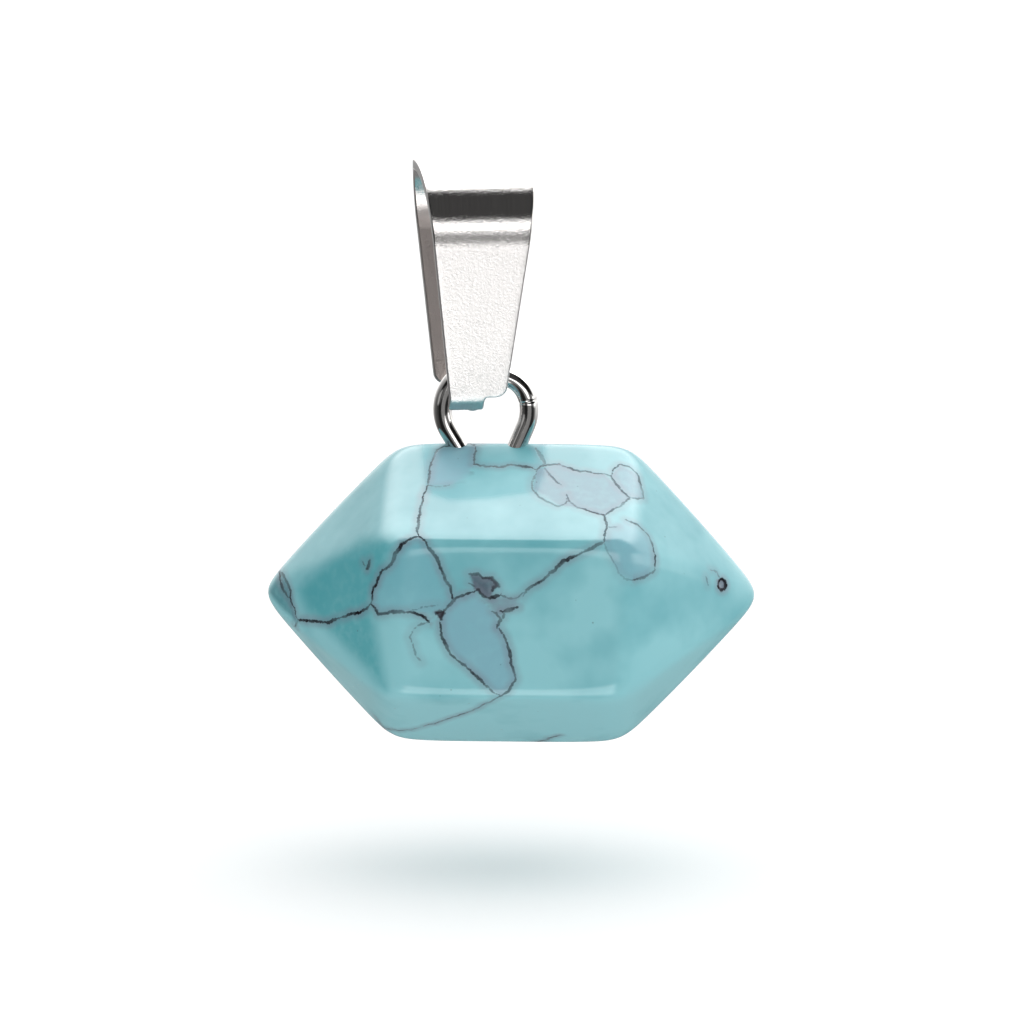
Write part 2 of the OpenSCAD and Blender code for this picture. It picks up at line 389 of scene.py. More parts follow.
def tumbled_strip(colours):
    """Stainless steel strip, folded bright over the fold and left satin on the leaves.

    Rolling leaves fine lines along the strip, and tumbling gives it a fine grain that roughens what it mirrors.
    """
    material, tree = new_material("Tumbled stainless steel strip")
    # Where each point lay on the flat blank, in millimetres
    blank = stored(tree, "blank", "Vector")
    parts = add(tree, "ShaderNodeSeparateXYZ", {0: blank}).outputs

    # Rolled lines about 0.06 mm apart and 2 mm long, and a tumbled grain of about 0.1 mm
    stretched = add(tree, "ShaderNodeMapping", {"Vector": blank, "Scale": ROLLED_SCALE}).outputs[0]
    lines = noise(tree, stretched, 1, 3)
    grain = noise(tree, blank, GRAIN_SCALE, 4, 0.65)

    # The fold's satin begins where the front leaf starts, about 5 mm of strip from the top of the fold
    reach = reckoned(tree, "ABSOLUTE", parts["Y"])
    satin = ranged(tree, reach, *SATIN_REACH, interpolation_type="SMOOTHSTEP")
    rougher = reckoned(tree, "MULTIPLY_ADD", grain, GRAIN_ROUGHNESS, ranged(tree, satin, 0, 1, *STRIP_ROUGHNESS))
    rough = reckoned(tree, "SUBTRACT", rougher, GRAIN_ROUGHNESS / 2)

    # The tumbling doesn't reach between the leaves, so the strip stays rougher there; its colour there is darkened as
    # painted shade
    inside = ranged(tree, parts["Z"], *INSIDE_FACE)
    rough_and_shaded = product(tree, inside, ranged(tree, reach, *ROUGH_AND_SHADED_REACH, FOLD_TOP_SHADE_AND_DULLNESS))
    # The sheared edge is rougher and greyer than the faces
    sheared = ranged(tree, reckoned(tree, "ABSOLUTE", parts["Z"]), *SHEARED_FACE)

    # Here and there, about 2 mm apart, the tumbling left a faint scuff
    scuff = ranged(tree, noise(tree, blank, SCUFF_SCALE, 4, 0.8), *SCUFF_RANGE, 1, IN_SCUFFS)
    scuffed = product(tree, ranged(tree, lines, *NOISE_RANGE, IN_LINES), scuff)
    bright = add(tree, "ShaderNodeVectorMath", {0: linear(colours.steel)[:3], "Scale": scuffed}, operation="SCALE")
    edged = laid_over(tree, sheared, bright.outputs[0], linear(colours.edge))
    worst = reckoned(tree, "MAXIMUM", sheared, rough_and_shaded)

    # The grain is deeper on the leaves than on the burnished fold
    deep = ranged(tree, satin, 0, 1, FOLD_GRAIN, LEAF_GRAIN)
    relief = reckoned(tree, "MULTIPLY_ADD", lines, ROLLED_DEPTH, product(tree, grain, deep))
    add_surface(tree, {
        "Base Color": laid_over(tree, rough_and_shaded, edged, linear(colours.dull_and_shaded)), "Metallic": 1,
        "Roughness": mixed(tree, worst, rough, EDGE_ROUGHNESS),
        "Normal": bumped(tree, relief),
    })
    return material


# The polished wire's grain: its size and its depth, and the roughness at its bottom and at its top
WIRE_GRAIN = 0.16 * MM
WIRE_DEPTH = 0.0015 * MM
WIRE_ROUGHNESS = (0.05, 0.11)


def polished_wire(colours):
    """Stainless steel wire, drawn and polished: a near mirror with faint lines left by the die."""
    material, tree = new_material("Polished stainless steel wire")
    grain = noise(tree, object_place(tree), 1 / WIRE_GRAIN, 3)
    add_surface(tree, {
        "Base Color": linear(colours.steel), "Metallic": 1,
        "Roughness": ranged(tree, grain, *NOISE_RANGE, *WIRE_ROUGHNESS),
        "Normal": bumped(tree, product(tree, grain, WIRE_DEPTH)),
    })
    return material


# The floor's fine tooth: its size and the roughness it gives, and the strength of the light from below
FLOOR_TOOTH = 0.8 * MM
FLOOR_ROUGHNESS = (0.7, 0.9)
FLOOR_GLOW = 0.1


def matte_acrylic(colour):
    """Matte white acrylic, lit a little from below as on a light table, which softens the shadow on it."""
    material, tree = new_material("Matte white acrylic")
    tooth = noise(tree, object_place(tree), 1 / FLOOR_TOOTH, 2)
    add_surface(tree, {
        "Base Color": linear(colour), "Specular IOR Level": 0.2,
        "Roughness": ranged(tree, tooth, 0, 1, *FLOOR_ROUGHNESS),
        "Emission Color": (1, 1, 1, 1), "Emission Strength": FLOOR_GLOW,
    })
    return material


# Pieces


def new_object(name, data):
    """An object at the origin that holds the data."""
    made = bpy.data.objects.new(name, data)
    bpy.context.scene.collection.objects.link(made)
    return made


def new_piece(name, mesh, material):
    """An object at the origin that shows the mesh, with the material."""
    mesh.materials.clear()
    mesh.materials.append(material)
    return new_object(name, mesh)


def mark(mesh, name, values, kind="FLOAT", part="value"):
    """Keeps values under the name, one for each point of the mesh."""
    mesh.attributes.new(name, kind, "POINT").data.foreach_set(part, np.asarray(values, dtype=np.float32).ravel())


def nearest_of(points):
    """A tree that finds which of the points is nearest to a place."""
    tree = KDTree(len(points))
    for i, point in enumerate(points):
        tree.insert(point, i)
    tree.balance()
    return tree


def hand_over(piece, body, nodes):
    """Makes the piece move with the body and stand for the nodes."""
    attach(piece, body)
    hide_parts(*nodes)


def new_tree(name, inputs):
    """A Geometry Nodes tree with named inputs, given with their kinds, and the sockets of those inputs."""
    tree = bpy.data.node_groups.new(name, "GeometryNodeTree")
    for label, kind in inputs.items():
        tree.interface.new_socket(label, in_out="INPUT", socket_type="NodeSocket" + kind)
    tree.interface.new_socket("Result", in_out="OUTPUT", socket_type="NodeSocketGeometry")
    return tree, add(tree, "NodeGroupInput").outputs


def end_tree(tree, geometry, finish):
    """Ends a Geometry Nodes tree: makes its instances real and gives them the material."""
    real = add(tree, "GeometryNodeRealizeInstances", {"Geometry": geometry})
    finished = add(tree, "GeometryNodeSetMaterial", {"Geometry": real.outputs[0], "Material": finish})
    add(tree, "NodeGroupOutput", {0: finished.outputs[0]})
    return tree


def baked(piece, tree, inputs):
    """Runs a node tree on a piece, keeps the result as its plain mesh and takes the modifier off again."""
    modifier = piece.modifiers.new(tree.name, "NODES")
    modifier.node_group = tree
    for socket in tree.interface.items_tree:
        if socket.in_out == "INPUT" and socket.name in inputs:
            modifier[socket.identifier] = inputs[socket.name]
    graph = bpy.context.evaluated_depsgraph_get()
    mesh = bpy.data.meshes.new_from_object(piece.evaluated_get(graph), preserve_all_data_layers=True,
                                           depsgraph=graph)
    piece.modifiers.remove(modifier)
    piece.data = mesh


# The wire


def swept_wire_tree():
    """Sweeps a round section along a path of edges. The attribute girth thickens or thins it point by point."""
    tree, given = new_tree("Swept wire", {"Path": "Geometry", "Radius": "Float", "Sides": "Int",
                                          "Finish": "Material"})
    path = add(tree, "GeometryNodeMeshToCurve", {"Mesh": given["Path"]})
    section = add(tree, "GeometryNodeCurvePrimitiveCircle", {"Radius": given["Radius"],
                                                             "Resolution": given["Sides"]})
    girth = add(tree, "GeometryNodeInputNamedAttribute", {"Name": "girth"}, data_type="FLOAT")
    wire = add(tree, "GeometryNodeCurveToMesh", {"Curve": path.outputs[0], "Profile Curve": section.outputs[0],
                                                 "Scale": girth.outputs[0], "Fill Caps": True})
    smooth = add(tree, "GeometryNodeSetShadeSmooth", {"Geometry": wire.outputs[0]})
    return end_tree(tree, smooth.outputs[0], given["Finish"])


def swept(name, path, girth, radius, sides, material):
    """A piece of round wire or bar along the path, its radius times girth at each point."""
    mesh = bpy.data.meshes.new(name)
    mesh.from_pydata([tuple(p) for p in path], [(i, i + 1) for i in range(len(path) - 1)], [])
    mark(mesh, "girth", girth)
    piece = new_piece(name, mesh, material)
    tree = bpy.data.node_groups.get("Swept wire") or swept_wire_tree()
    baked(piece, tree, {"Radius": radius, "Sides": sides, "Finish": material})
    return piece


def loop_middle():
    """Middle of the eye loop, from the box of its node."""
    loop = settings().loop
    x, _, z = LOOP_BOX[1]
    return Vector((x - loop.radius * math.cos(settings().stone.turn) - loop.wire / 2, 0,
                   z - loop.radius - loop.wire / 2))


def turned(points, turn):
    """Points turned about the upright."""
    c, s = math.cos(turn), math.sin(turn)
    return points @ np.array(((c, s, 0), (-s, c, 0), (0, 0, 1)))


def leaned(points, lean):
    """Points turned about Y, so that their foot moves to the right."""
    c, s = math.cos(lean), math.sin(lean)
    return points @ np.array(((c, 0, s), (0, 1, 0), (-s, 0, c)))


def in_loop_frame(points):
    """Takes points from the loop's own upright plane to where the loop hangs."""
    sizes = settings()
    return turned(leaned(np.asarray(points), sizes.loop.lean), sizes.stone.turn) + np.array(loop_middle())


def wire_path():
    """Points along the wire, from one leg's foot round the loop to the other's."""
    loop = settings().loop
    half = math.pi / 2 - loop.leg_slope
    foot = Vector((0, 0, -loop.radius / math.sin(half)))
    # The legs stop where they would run into each other, inside the stone
    clear = loop.wire / 2 / math.sin(half) * FOOT_ROOM
    ring = []
    for i in range(RING_STEPS + 1):
        a = -half + (math.pi + 2 * half) * i / RING_STEPS
        radius = loop.radius - loop.flat * math.exp(-((a - FLAT_ANGLE) / FLAT_REACH) ** 2)
        ring.append(Vector((math.cos(a), 0, math.sin(a))) * radius)
    legs = [foot + (end - foot).normalized() * clear for end in (ring[0], ring[-1])]
    right = [legs[0].lerp(ring[0], i / LEG_STEPS) for i in range(LEG_STEPS)]
    left = [ring[-1].lerp(legs[1], i / LEG_STEPS) for i in range(1, LEG_STEPS + 1)]
    return np.array(right + ring + left)


def seam_girth(path):
    """Girth along the wire: 1, but a fine groove where its two ends meet at the right of the loop."""
    loop = settings().loop
    seam = np.array((math.cos(SEAM_ANGLE), 0, math.sin(SEAM_ANGLE))) * loop.radius
    away = np.linalg.norm(path - seam, axis=1)
    return 1 - SEAM_DEPTH * np.exp(-(away / SEAM_HALF_WIDTH) ** 2)


RING_STEPS = 150
LEG_STEPS = 16
FOOT_ROOM = 1.02
# Where the loop is flattened and where its two ends meet, as angles up from its right
FLAT_ANGLE = math.radians(70)
FLAT_REACH = math.radians(30)
SEAM_ANGLE = math.radians(7)
SEAM_DEPTH = 0.07
SEAM_HALF_WIDTH = 0.05 * MM


# The bail


class Corner(NamedTuple):
    """A corner of a flat outline, in metres, and its radius."""

    x: float
    s: float
    radius: float


def rounded_outline(corners, spacing):
    """Points and outward normals along an outline whose corners are arcs, at most spacing apart."""
    points, normals = [], []
    count = len(corners)
    for i, corner in enumerate(corners):
        here = Vector(corner[:2])
        before = Vector(corners[i - 1][:2])
        after = Vector(corners[(i + 1) % count][:2])
        into, out = (here - before).normalized(), (after - here).normalized()
        turn = math.atan2(into.cross(out), into.dot(out))
        cut = corner.radius * math.tan(abs(turn) / 2)
        side = 1 if turn > 0 else -1
        centre = here - into * cut + Vector((-into.y, into.x)) * side * corner.radius
        steps = max(2, math.ceil(abs(turn) / ARC_STEP))
        for k in range(steps + 1):
            c, s = math.cos(turn * k / steps), math.sin(turn * k / steps)
            normal = Vector((into.y * c + into.x * s, -into.x * c + into.y * s))
            points.append(centre + normal * side * corner.radius)
            normals.append(normal)
    dense, dense_normals = [], []
    for i in range(len(points)):
        a, b = points[i], points[(i + 1) % len(points)]
        pieces = max(1, math.ceil((b - a).length / spacing))
        for k in range(pieces):
            dense.append(a.lerp(b, k / pieces))
            dense_normals.append(normals[i].lerp(normals[(i + 1) % len(points)], k / pieces).normalized())
    return dense, dense_normals


ARC_STEP = math.radians(15)


def bail_lengths():
    """Lengths along the strip: the fold's half, the front leaf's end, the lip's end and the back leaf's end."""
    bail = settings().bail
    fold = (bail.fold_radius + bail.strip / 2) * (math.pi / 2 + bail.lean)
    front = fold + bail.front_leaf
    lip = front + bail.lip_length
    return fold, front, lip, -(fold + bail.back_leaf)


def blank_corners():
    """Outline of the flat blank that the bail is folded from, x across it and s along it from the fold's top."""
    bail = settings().bail
    fold, front, lip, back = bail_lengths()
    lip_left, lip_right = -bail.lip_offset - bail.lip_width / 2, -bail.lip_offset + bail.lip_width / 2
    outer = bail.fold_radius + bail.strip
    leaf_end_z = -bail.fold_radius - outer * math.sin(bail.lean) - bail.back_leaf * math.cos(bail.lean)
    # The back leaf runs on into a round tongue that covers the end of the peg
    tongue = back - (leaf_end_z - PEG_AXIS.z) / math.cos(bail.lean) - bail.peg_radius
    tongue_left, tongue_right = PEG_AXIS.x - bail.peg_radius, PEG_AXIS.x + bail.peg_radius
    # A corner radius of just the tongue's half width would leave no straight between its two corners
    tongue_round = bail.peg_radius * 0.95
    return [
        Corner(bail.fold_width / 2, 0, WIDE_CORNER),
        Corner(bail.front_shoulder / 2, fold, WIDE_CORNER),
        Corner(bail.front_end / 2, front, bail.corner),
        Corner(lip_right, front, SMALL_CORNER),
        Corner(lip_right, lip, SMALL_CORNER),
        Corner(lip_left, lip, SMALL_CORNER),
        Corner(-bail.front_end / 2, front, SMALL_CORNER),
        Corner(-bail.front_shoulder / 2, fold, WIDE_CORNER),
        Corner(-bail.fold_width / 2, 0, WIDE_CORNER),
        Corner(-bail.back_shoulder / 2, -fold, WIDE_CORNER),
        Corner(-bail.back_end / 2, back, bail.corner),
        Corner(tongue_left, back, SMALL_CORNER),
        Corner(tongue_left, tongue, tongue_round),
        Corner(tongue_right, tongue, tongue_round),
        Corner(tongue_right, back, SMALL_CORNER),
        Corner(bail.back_end / 2, back, bail.corner),
        Corner(bail.back_shoulder / 2, -fold, WIDE_CORNER),
    ]


SMALL_CORNER = 0.15 * MM
WIDE_CORNER = 1.5 * MM


def folded(x, s, z):
    """Where a point of the flat blank comes to lie once it is folded. z is its height above the mid-surface."""
    bail = settings().bail
    fold, front, _, _ = bail_lengths()
    way = 1 if s > 0 else -1
    middle = bail.fold_radius + bail.strip / 2
    turn = min(abs(s), fold) / middle
    out = Vector((0, -math.sin(turn), math.cos(turn)))
    along = Vector((0, -math.cos(turn), -math.sin(turn)))
    place = out * middle + Vector((0, 0, -bail.fold_radius))
    straight = abs(s) - fold
    if way > 0:
        straight = min(straight, bail.front_leaf)
    if straight > 0:
        place += along * straight
    if s > front:
        bend = bail.lip_radius - bail.strip / 2
        curl = min((s - front) / bend, bail.lip_turn)
        centre = place - out * bend
        out, along = (out * math.cos(curl) + along * math.sin(curl),
                      along * math.cos(curl) - out * math.sin(curl))
        place = centre + out * bend + along * (s - front - bend * curl)
    place += out * z
    return Vector((x, place.y * way, place.z))


def bail_mesh():
    """The folded strip: a flat blank with rounded edges, wrapped round the fold and the lip."""
    bail = settings().bail
    outline, normals = rounded_outline(blank_corners(), OUTLINE_SPACING)
    radius, half = bail.edge_round, bail.strip / 2
    rim = [(radius * (1 - math.cos(a)), half - radius + radius * math.sin(a))
           for a in (math.pi / 2 * k / RIM_STEPS for k in range(RIM_STEPS + 1))]
    mesh = bmesh.new()
    blank = mesh.verts.layers.float_vector.new("blank")

    def vertex(x, s, z):
        made = mesh.verts.new(folded(x, s, z))
        made[blank] = Vector((x, s, z)) / MM
        return made

    # One loop of the rim for each height, from the top face down to the bottom one
    levels = [(inset, z) for inset, z in reversed(rim)] + [(inset, -z) for inset, z in rim]
    loops = [[vertex(p.x - n.x * inset, p.y - n.y * inset, z) for p, n in zip(outline, normals)]
             for inset, z in levels]
    count = len(outline)
    for upper, lower in zip(loops, loops[1:]):
        for i in range(count):
            j = (i + 1) % count
            mesh.faces.new((upper[i], upper[j], lower[j], lower[i]))

    # The flat faces: the innermost loop and rows of points inside it, closer together where the strip bends
    inner = [p - n * radius for p, n in zip(outline, normals)]
    inside = []
    for s in row_places():
        crossings = row_crossings(inner, s)
        for left, right in zip(crossings[::2], crossings[1::2]):
            width = right - left
            cells = max(1, round(width / LEAF_ROWS))
            inside += [Vector((left + width * k / cells, s)) for k in range(1, cells)]
    near = nearest_of([(p.x, p.y, 0) for p in inner])
    inside = [p for p in inside if near.find((p.x, p.y, 0))[2] > ROOM_AT_RIM]
    flat = [Vector(p) / MM for p in inner + inside]
    places, _, faces, origins, _, _ = delaunay_2d_cdt(flat, [], [list(range(count))], 1, 1e-6)
    for z, loop, flip in ((half, loops[0], False), (-half, loops[-1], True)):
        known = []
        for p, origin in zip(places, origins):
            first = origin[0] if origin else count
            known.append(loop[first] if first < count else vertex(p.x * MM, p.y * MM, z))
        for face in faces:
            corners = [known[i] for i in face]
            mesh.faces.new(corners[::-1] if flip else corners)
    bmesh.ops.recalc_face_normals(mesh, faces=mesh.faces)
    for face in mesh.faces:
        face.smooth = True
    return finished_mesh("bail_strip", mesh)


def finished_mesh(name, mesh):
    """A plain mesh made of a bmesh."""
    made = bpy.data.meshes.new(name)
    mesh.to_mesh(made)
    mesh.free()
    return made


OUTLINE_SPACING = 0.12 * MM
RIM_STEPS = 4
# Distances between the rows of points on the leaves, the fold and the lip, and from the rim to the first point
LEAF_ROWS = 0.22 * MM
FOLD_ROWS = 0.14 * MM
LIP_ROWS = 0.05 * MM
ROOM_AT_RIM = 0.04 * MM
# The rows begin beyond the tongue's end, and the close rows a little before a bend
ROWS_BEYOND = 1.2 * MM
BEFORE_BEND = 0.1 * MM


def row_places():
    """Places of the rows of points along the strip, close together on the fold and closest on the lip."""
    fold, front, lip, back = bail_lengths()
    rows, s = [], back - ROWS_BEYOND
    while s < lip:
        rows.append(s)
        if s > front - BEFORE_BEND:
            s += LIP_ROWS
        elif abs(s) < fold + BEFORE_BEND:
            s += FOLD_ROWS
        else:
            s += LEAF_ROWS
    return rows


def row_crossings(outline, s):
    """Where a row at s crosses the closed outline, from left to right."""
    found = []
    for i, a in enumerate(outline):
        b = outline[(i + 1) % len(outline)]
        if (a.y <= s) != (b.y <= s):
            found.append(a.x + (b.x - a.x) * (s - a.y) / (b.y - a.y))
    return sorted(found)


def peg_path():
    """Points along the peg, from inside the front leaf to the back tongue, and its girth at its worn ends."""
    bail = settings().bail
    outer = bail.fold_radius + bail.strip
    front = -outer * math.cos(bail.lean) + bail.front_leaf * math.sin(bail.lean) + bail.strip * PEG_INSET
    drop = -PEG_AXIS.z - bail.fold_radius
    back = (bail.fold_radius + bail.strip / 2 - drop * math.sin(bail.lean)) / math.cos(bail.lean)
    places, girth = [], []
    for k in range(PEG_STEPS + 1):
        a = math.pi / 2 * k / PEG_STEPS
        places.append(front + PEG_ROUND * (1 - math.cos(a)))
        girth.append(1 - PEG_ROUND / bail.peg_radius * (1 - math.sin(a)))
    ends = list(zip(places, girth))
    ends += [(back + front - y, g) for y, g in reversed(ends)]
    return [(PEG_AXIS.x, y, PEG_AXIS.z) for y, _ in ends], [g for _, g in ends]


# How far the peg's front end lies behind the leaf's outside, in strip thicknesses, which hides it in the lip
PEG_INSET = 1.1
PEG_ROUND = 0.16 * MM
PEG_STEPS = 6
PEG_SIDES = 48


# The stone's form


class WornStone:
    """A six-sided prism with two points, in its own frame: x along it, -y its front face, z its top ridge.

    Each facet is a plane. The surface is where the soft maximum of the heights above all the planes is zero,
    so it is flat on the facets and rounded where two or more of them meet.
    """

    def __init__(self, sizes):
        apothem = sizes.across / 2 * math.cos(math.radians(30))
        point = (sizes.tip_to_tip - sizes.middle) / 2
        slope = math.hypot(point, apothem)
        rows = []
        for degrees in range(30, 360, 60):
            y, z = math.sin(math.radians(degrees)), math.cos(math.radians(degrees))
            rows.append((0, y, z, apothem))
            for end in (-1, 1):
                rows.append((end * apothem / slope, y * point / slope, z * point / slope,
                             apothem / slope * sizes.tip_to_tip / 2))
        facets = np.array(rows)
        self.normals, self.reach = facets[:, :3], facets[:, 3]
        self.sizes = sizes
        low, high = (np.array(corner) for corner in STONE_BOX)
        self.middle = (low + high) / 2
        self.shear = sizes.slant / (high[2] - low[2])

    def wear(self, points):
        """Depth worn off an edge at each point: more at the corners and the tips."""
        sizes = self.sizes
        along = np.abs(points[:, 0])
        corner = np.exp(-((along - sizes.middle / 2) / sizes.wear_reach) ** 2)
        tip = np.exp(-((along - sizes.tip_to_tip / 2) / sizes.wear_reach) ** 2)
        return sizes.edge_wear + sizes.corner_wear * corner + sizes.tip_wear * tip

    def heights(self, points):
        """Height of each point above each facet's plane."""
        return points @ self.normals.T - self.reach

    def above(self, points):
        """Height of each point above the worn surface, and the direction in which it grows."""
        heights, wear = self.heights(points), self.wear(points)[:, None]
        top = heights.max(axis=1, keepdims=True)
        share = np.exp2((heights - top) / wear)
        total = share.sum(axis=1, keepdims=True)
        return (top + wear * np.log2(total))[:, 0], share / total @ self.normals

    def settled(self, points):
        """Points moved on to the worn surface."""
        for _ in range(SETTLE_STEPS):
            height, up = self.above(points)
            points = points - up * (height / (up ** 2).sum(axis=1))[:, None]
        return points

    def placed(self, points):
        """Points taken from the stone's own frame to where it hangs."""
        slanted = points + points[:, 2:] * np.array((self.shear, 0, 0))
        return turned(slanted, self.sizes.turn) + self.middle

    def unplaced(self, points):
        """Points taken from where the stone hangs to its own frame."""
        slanted = turned(points - self.middle, -self.sizes.turn)
        return slanted - slanted[:, 2:] * np.array((self.shear, 0, 0))

    def touched(self, starts, directions):
        """Points, in the stone's own frame, where rays from outside meet the worn surface."""
        far = np.zeros(len(starts))
        for _ in range(RAY_STEPS):
            here = self.unplaced(starts + directions * far[:, None])
            far += self.above(here)[0] * RAY_SHARE
        return self.settled(here)

    def sharp(self):
        """Corners and triangles of the stone before wear."""
        sizes = self.sizes
        radius, half = sizes.across / 2, sizes.middle / 2
        points = [(-sizes.tip_to_tip / 2, 0, 0), (sizes.tip_to_tip / 2, 0, 0)]
        for end in (-1, 1):
            points += [(end * half, radius * math.sin(a), radius * math.cos(a))
                       for a in (math.radians(60 * k) for k in range(6))]
        triangles = []
        for k in range(6):
            left, next_left = 2 + k, 2 + (k + 1) % 6
            right, next_right = left + 6, next_left + 6
            triangles += [(0, left, next_left), (1, next_right, right),
                          (left, right, next_right), (left, next_right, next_left)]
        return np.array(points, dtype=float), np.array(triangles)


SETTLE_STEPS = 6
# A ray goes a little less far at each step than the height says, so that it never runs through an edge
RAY_STEPS = 80
RAY_SHARE = 0.98
# Rays start this far out, which is outside the stone everywhere
RAY_START = 12 * MM


def refined(points, triangles, wanted, settled):
    """Splits each side that is longer than wanted at its middle, until none is, and settles the new points.

    The longest side of each triangle that is split is split too, so that no triangle grows thin.
    """
    while True:
        ends = points[triangles]
        lengths = np.linalg.norm(ends - ends[:, [1, 2, 0]], axis=2)
        triangles = rolled(triangles, lengths.argmax(axis=1))
        sides = np.sort(triangles[:, [[0, 1], [1, 2], [2, 0]]], axis=2).reshape(-1, 2)
        keys, first, which = np.unique(sides @ (len(points), 1), return_index=True, return_inverse=True)
        which = which.reshape(-1, 3)
        ends = points[sides[first]]
        sizes = np.linalg.norm(ends[:, 0] - ends[:, 1], axis=1)
        middles = ends.mean(axis=1)
        long = sizes > wanted(middles, sizes)
        if not long.any():
            return points, triangles
        count = 0
        while count < long.sum():
            count = long.sum()
            long[which[long[which].any(axis=1), 0]] = True
        number = np.full(len(keys), -1)
        number[long] = len(points) + np.arange(count)
        points = np.vstack((points, settled(middles[long])))
        triangles = split(triangles, number[which])


def rolled(rows, turn):
    """Rows of three, each turned round so that it starts at its own place."""
    order = (turn[:, None] + np.arange(3)) % 3
    return np.take_along_axis(rows, order, axis=1)


def split(triangles, halves):
    """Triangles after their sides are split. The longest side comes first. halves has its new points, or -1."""
    (a, b, c), (ab, bc, ca) = triangles.T, halves.T
    cut, second, third = ab >= 0, bc >= 0, ca >= 0
    rules = (
        (~cut, ((a, b, c),)),
        (cut & ~second & ~third, ((a, ab, c), (ab, b, c))),
        (cut & second & ~third, ((a, ab, c), (ab, b, bc), (ab, bc, c))),
        (cut & ~second & third, ((ab, b, c), (a, ab, ca), (ca, ab, c))),
        (cut & second & third, ((a, ab, ca), (ab, b, bc), (ca, bc, c), (ab, bc, ca))),
    )
    return np.vstack([np.stack(made, axis=1)[chosen] for chosen, parts in rules for made in parts])


# The chart of the veins


class FrontChart:
    """The stone as the camera sees it, in pixels of a frame 1024 wide. scale is the size of a pixel at the aim."""

    frame = 1024

    def __init__(self, stone):
        self.stone = stone
        studio = settings().studio
        self.distance = studio.distance
        self.scale = studio.frame_width / self.frame
        self.aim = np.array(studio.aim)
        self.back = np.array(camera_back())
        self.right = np.cross((0, 0, 1), self.back)
        self.right /= np.linalg.norm(self.right)
        self.up = np.cross(self.back, self.right)
        self.eye = self.aim + self.back * studio.distance

    def on_stone(self, points):
        """Points of the stone, in its own frame, that the camera sees at points of the chart."""
        flat = (np.asarray(points, dtype=float) - self.frame / 2) * self.scale
        targets = self.aim + flat[:, :1] * self.right - flat[:, 1:] * self.up
        rays = targets - self.eye
        rays /= np.linalg.norm(rays, axis=1)[:, None]
        return self.stone.touched(targets - rays * RAY_START, rays)

    def charted(self, points):
        """Chart places of points of the stone, and which of them the camera sees."""
        away = self.stone.placed(points) - self.eye
        depth = -away @ self.back
        flat = np.stack((away @ self.right, -(away @ self.up)), axis=1) * self.distance / depth[:, None]
        facing = turned(self.stone.above(points)[1], self.stone.sizes.turn)
        return flat / self.scale + self.frame / 2, (facing * away).sum(axis=1) < 0


class RoundChart:
    """The stone's surface unrolled: millimetres along it from its middle, and round it from its front face up."""

    scale = MM
    round_radius = 6.5 * MM
    # The chart is used from here to the back, beyond what the front chart covers
    front_limit = -3 * MM

    def __init__(self, stone):
        self.stone = stone

    def on_stone(self, points):
        """Points of the stone, in its own frame, at points of the chart."""
        along, turn = (np.asarray(points, dtype=float) * MM).T
        turn = turn / self.round_radius
        outwards = np.stack((np.zeros_like(turn), -np.cos(turn), np.sin(turn)), axis=1)
        starts = outwards * RAY_START
        starts[:, 0] = along
        towards = turned(-outwards, self.stone.sizes.turn)
        return self.stone.touched(self.stone.placed(starts), towards)

    def charted(self, points):
        """Chart places of points of the stone, and which of them lie behind."""
        turn = np.arctan2(points[:, 2], -points[:, 1]) % (2 * math.pi)
        return np.stack((points[:, 0], turn * self.round_radius), axis=1) / MM, points[:, 1] > self.front_limit


class Vein(NamedTuple):
    """A vein: its width in millimetres, how dark it is, and the chart points that it runs through."""

    width: float
    ink: float
    points: tuple


class ColourPatch(NamedTuple):
    """A patch of colour, mostly an island of other stone, though two at the left are partly painted shade: its
    colour, how much it shows, how softly it ends in chart units, its outline.
    """

    colour: str
    share: float
    soft: float
    outline: tuple


